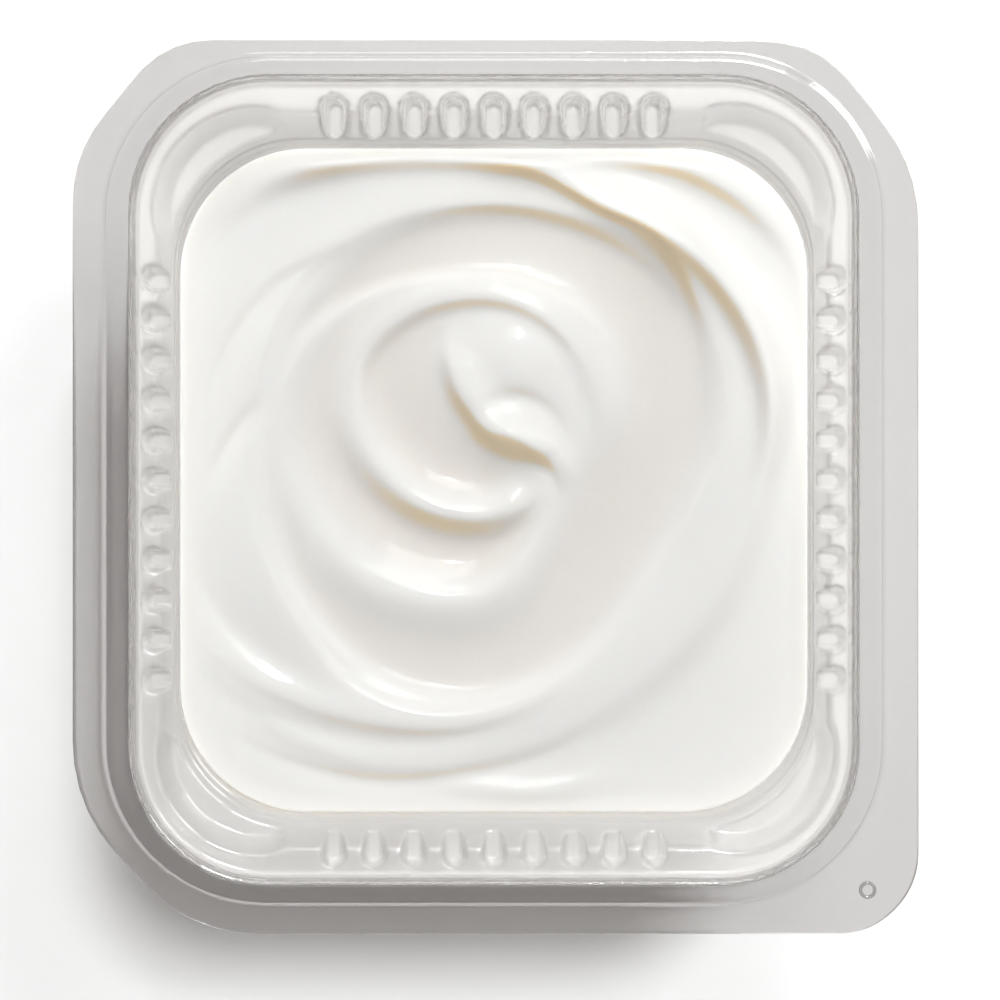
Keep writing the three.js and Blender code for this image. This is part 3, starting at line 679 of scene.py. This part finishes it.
class Nodes:
    """The node tree of a material or a world, with short calls to add and link nodes."""

    def __init__(self, owner):
        owner.use_nodes = True
        self.owner = owner
        self.tree = owner.node_tree
        self.tree.nodes.clear()

    def add(self, kind, inputs=None, **settings):
        """A node with its inputs set, each to a value or from another node's socket."""
        node = self.tree.nodes.new(kind)
        for key, value in settings.items():
            setattr(node, key, value)
        for key, value in (inputs or {}).items():
            if isinstance(value, bpy.types.NodeSocket):
                self.tree.links.new(value, node.inputs[key])
            else:
                node.inputs[key].default_value = value
        return node

    def place(self, kind="Object"):
        """Socket of a point's own coordinates."""
        return self.add("ShaderNodeTexCoord").outputs[kind]

    def height(self, kind="Object"):
        """Socket of a point's height."""
        return self.add("ShaderNodeSeparateXYZ", {"Vector": self.place(kind)}).outputs["Z"]

    def noise(self, scale, detail):
        """Socket of a soft noise, whose scale is a count per metre."""
        inputs = {"Vector": self.place(), "Scale": scale, "Detail": detail}
        return self.add("ShaderNodeTexNoise", inputs).outputs["Fac"]

    def between(self, factor, a, b):
        """Socket of a colour that goes from a to b."""
        inputs = {"Factor": factor, "A": a, "B": b}
        return self.add("ShaderNodeMix", inputs, data_type="RGBA").outputs["Result"]

    def mapped(self, value, span=(0, 1), onto=(0, 1), **settings):
        """Socket of a value whose span is mapped onto another, and held at its ends."""
        inputs = {
            "Value": value, "From Min": span[0], "From Max": span[1], "To Min": onto[0], "To Max": onto[1],
        }
        return self.add("ShaderNodeMapRange", inputs, **settings).outputs["Result"]

    def bump(self, height, strength, distance, **inputs):
        """Socket of a normal that a height field makes uneven."""
        inputs = {"Height": height, "Strength": strength, "Distance": distance, **inputs}
        return self.add("ShaderNodeBump", inputs).outputs["Normal"]

    def finish(self, shader, output="ShaderNodeOutputMaterial"):
        """The owner, with a shader's first socket as its surface."""
        self.add(output, {"Surface": shader.outputs[0]})
        return self.owner


def clear_plastic():
    """Clear thermoformed plastic with fine scuffs, clearer and greyer on the flange than below it; the grey
    is partly painted shade and the wall's lighter colour partly painted light.
    """
    nodes = Nodes(bpy.data.materials.new("clear_plastic"))
    ripple = nodes.bump(nodes.noise(scale=120, detail=3), strength=0.25, distance=0.0004)
    specks = nodes.noise(scale=1500, detail=2)
    grain = nodes.bump(specks, strength=0.08, distance=0.0002, Normal=ripple)
    height = nodes.height()
    clearness = nodes.mapped(height, FLANGE_SPAN, PLASTIC_CLEARNESS)
    # Painted light and shade: the wall's colour is lighter, and the flange's a darker grey, than the
    # plastic's own tint.
    tint = nodes.between(nodes.mapped(height, FLANGE_SPAN), WALL_TINT_AND_LIGHT, FLANGE_TINT_AND_SHADE)
    haze = nodes.mapped(height, HAZY_SPAN, (HAZY_SHARE, 1))
    clearness = nodes.add("ShaderNodeMath", {0: clearness, 1: haze}, operation="MULTIPLY").outputs["Value"]
    plastic = nodes.add("ShaderNodeBsdfPrincipled", {
        "Base Color": tint,
        "Roughness": 0.04,
        "IOR": 1.5,
        "Transmission Weight": clearness,
        "Normal": grain,
    })
    lamps_pass = nodes.add("ShaderNodeBsdfTransparent", {"Color": LAMPS_PASS_COLOUR})
    shadow = nodes.add("ShaderNodeLightPath").outputs["Is Shadow Ray"]
    return nodes.finish(nodes.add("ShaderNodeMixShader", {
        0: shadow, 1: plastic.outputs[0], 2: lamps_pass.outputs[0],
    }))


def plain_yogurt():
    """Thick ivory yogurt, moist and slightly translucent, with painted shade in its hollows and under its
    folds.
    """
    nodes = Nodes(bpy.data.materials.new("plain_yogurt"))
    clouds = nodes.noise(scale=60, detail=4)
    cloudy = nodes.between(clouds, *YOGURT_COLOURS)
    # Painted shade: the deeper the top lies, the darker and warmer its cream.
    depth = nodes.mapped(nodes.height(), HOLLOW_SHADE_SPAN, interpolation_type="SMOOTHSTEP")
    hollow = nodes.between(depth, HOLLOW_PAINTED_SHADE, cloudy)
    # Painted shade: flanks that face away from the key light turn tan.
    facing = nodes.add("ShaderNodeVectorMath", {
        0: nodes.add("ShaderNodeNewGeometry").outputs["Normal"], 1: AWAY_FROM_KEY_LIGHT,
    }, operation="DOT_PRODUCT").outputs["Value"]
    fold_shade = nodes.mapped(facing, FOLD_SHADE_SPAN, interpolation_type="SMOOTHSTEP")
    yogurt = nodes.add("ShaderNodeBsdfPrincipled", {
        "Base Color": nodes.between(fold_shade, hollow, FOLD_PAINTED_SHADE),
        "Roughness": nodes.mapped(clouds, onto=YOGURT_ROUGHNESS),
        "IOR": 1.38,
        "Subsurface Weight": 1,
        "Subsurface Radius": (1, 0.8, 0.55),
        "Subsurface Scale": 0.002,
        "Normal": nodes.bump(nodes.noise(scale=900, detail=3), strength=0.12, distance=0.0002),
    }, subsurface_method="BURLEY")
    return nodes.finish(yogurt)


def pale_floor():
    """Plain pale studio surface."""
    nodes = Nodes(bpy.data.materials.new("pale_floor"))
    tint = nodes.between(nodes.noise(scale=300, detail=2), *FLOOR_COLOURS)
    return nodes.finish(nodes.add("ShaderNodeBsdfPrincipled", {"Base Color": tint, "Roughness": 0.8}))


def build_pot():
    points, faces = skin(pot_rows())
    extra_points, extra_faces = tab_ring()
    faces += [tuple(len(points) + i for i in face) for face in extra_faces]
    piece = mesh_piece("pot_clear", np.concatenate([points, extra_points]), faces, clear_plastic())
    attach(piece, "root")
    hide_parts("pot")
    return piece


def build_yogurt():
    points, faces = skin(yogurt_rows())
    piece = mesh_piece("yogurt_swirl", points, faces, plain_yogurt())
    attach(piece, "root")
    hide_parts("yogurt")
    return piece


def build_floor():
    points = np.column_stack([CORNERS * FLOOR_WIDTH / 2, np.zeros(len(CORNERS))])
    floor = mesh_piece("floor", points, [(0, 1, 2, 3)], pale_floor())
    return floor


def area_light(name, place, size, power, onto, aim=MIDDLE, gleams=True, spreads=True):
    """A square soft light that shines from one point towards another, onto the given objects.

    With gleams off it leaves no reflection, and with spreads off it leaves nothing else.
    """
    lamp = bpy.data.lights.new(name, "AREA")
    lamp.shape = "SQUARE"
    lamp.size = size
    lamp.energy = power
    lamp.color = LAMP_COLOUR
    light = bpy.data.objects.new(name, lamp)
    light.location = place
    towards = np.array(aim) - np.array(place)
    towards = towards / np.linalg.norm(towards)
    light.rotation_euler = (math.acos(-towards[2]), 0, math.atan2(-towards[0], towards[1]))
    bpy.context.scene.collection.objects.link(light)
    lit = bpy.data.collections.new(name + "_lights")
    for thing in onto:
        lit.objects.link(thing)
    light.light_linking.receiver_collection = lit
    light.visible_glossy = gleams
    light.visible_diffuse = spreads


def studio_world():
    """Even light from all round, brighter at the horizon and stronger in reflections and through plastic."""
    nodes = Nodes(bpy.data.worlds.new("studio"))
    fall = nodes.mapped(nodes.height("Generated"), onto=(HORIZON_STRENGTH, ZENITH_STRENGTH))
    path = nodes.add("ShaderNodeLightPath").outputs
    gleam = nodes.add("ShaderNodeMath", {
        0: path["Is Glossy Ray"], 1: path["Is Transmission Ray"],
    }, operation="MAXIMUM").outputs["Value"]
    share = nodes.add("ShaderNodeMath", {0: gleam, 1: GLEAM_GAIN, 2: 1}, operation="MULTIPLY_ADD")
    strength = nodes.add("ShaderNodeMath", {0: share.outputs["Value"], 1: fall}, operation="MULTIPLY")
    sky = nodes.add("ShaderNodeBackground", {"Color": WORLD_COLOUR, "Strength": strength.outputs["Value"]})
    return nodes.finish(sky, "ShaderNodeOutputWorld")


def light_scene(pot, yogurt, floor):
    """The lamps, with places and sizes in metres and power in watts."""
    area_light("key", place=(0.08, 0.50, 0.50), size=0.35, power=1.6, onto=[pot, yogurt])
    area_light("fill", place=(0.05, 0.15, 0.70), size=0.50, power=2.15, onto=[yogurt], gleams=False)
    area_light("window", place=(0.45, 0.40, 0.35), size=0.30, power=3.2, onto=[pot], spreads=False)
    area_light("overhead", place=(0.20, 0.35, 0.85), size=0.18, power=9.4, onto=[floor], aim=(0, 0, 0))
    area_light("spark", place=(0.04, 0.42, 0.62), size=0.05, power=0.35, onto=[yogurt])
    area_light("dome", place=(0, 0.10, 0.75), size=1.20, power=4.4, onto=[pot], gleams=False)
    area_light("edge", place=(0.12, 0.40, 0.55), size=0.14, power=3.2, onto=[pot], spreads=False)
    bpy.context.scene.world = studio_world()


def place_camera():
    """A camera that looks straight down, its picture PICTURE_WIDTH wide at the rim's height."""
    lens = bpy.data.cameras.new("camera")
    lens.sensor_width = SENSOR
    lens.lens = SENSOR * CAMERA_DISTANCE / PICTURE_WIDTH
    camera = bpy.data.objects.new("camera", lens)
    camera.location = (*CAMERA_AT, RIM_HEIGHT * MM + CAMERA_DISTANCE)
    bpy.context.scene.collection.objects.link(camera)
    bpy.context.scene.camera = camera


light_scene(build_pot(), build_yogurt(), build_floor())
place_camera()
bpy.context.scene.view_settings.view_transform = "Standard"
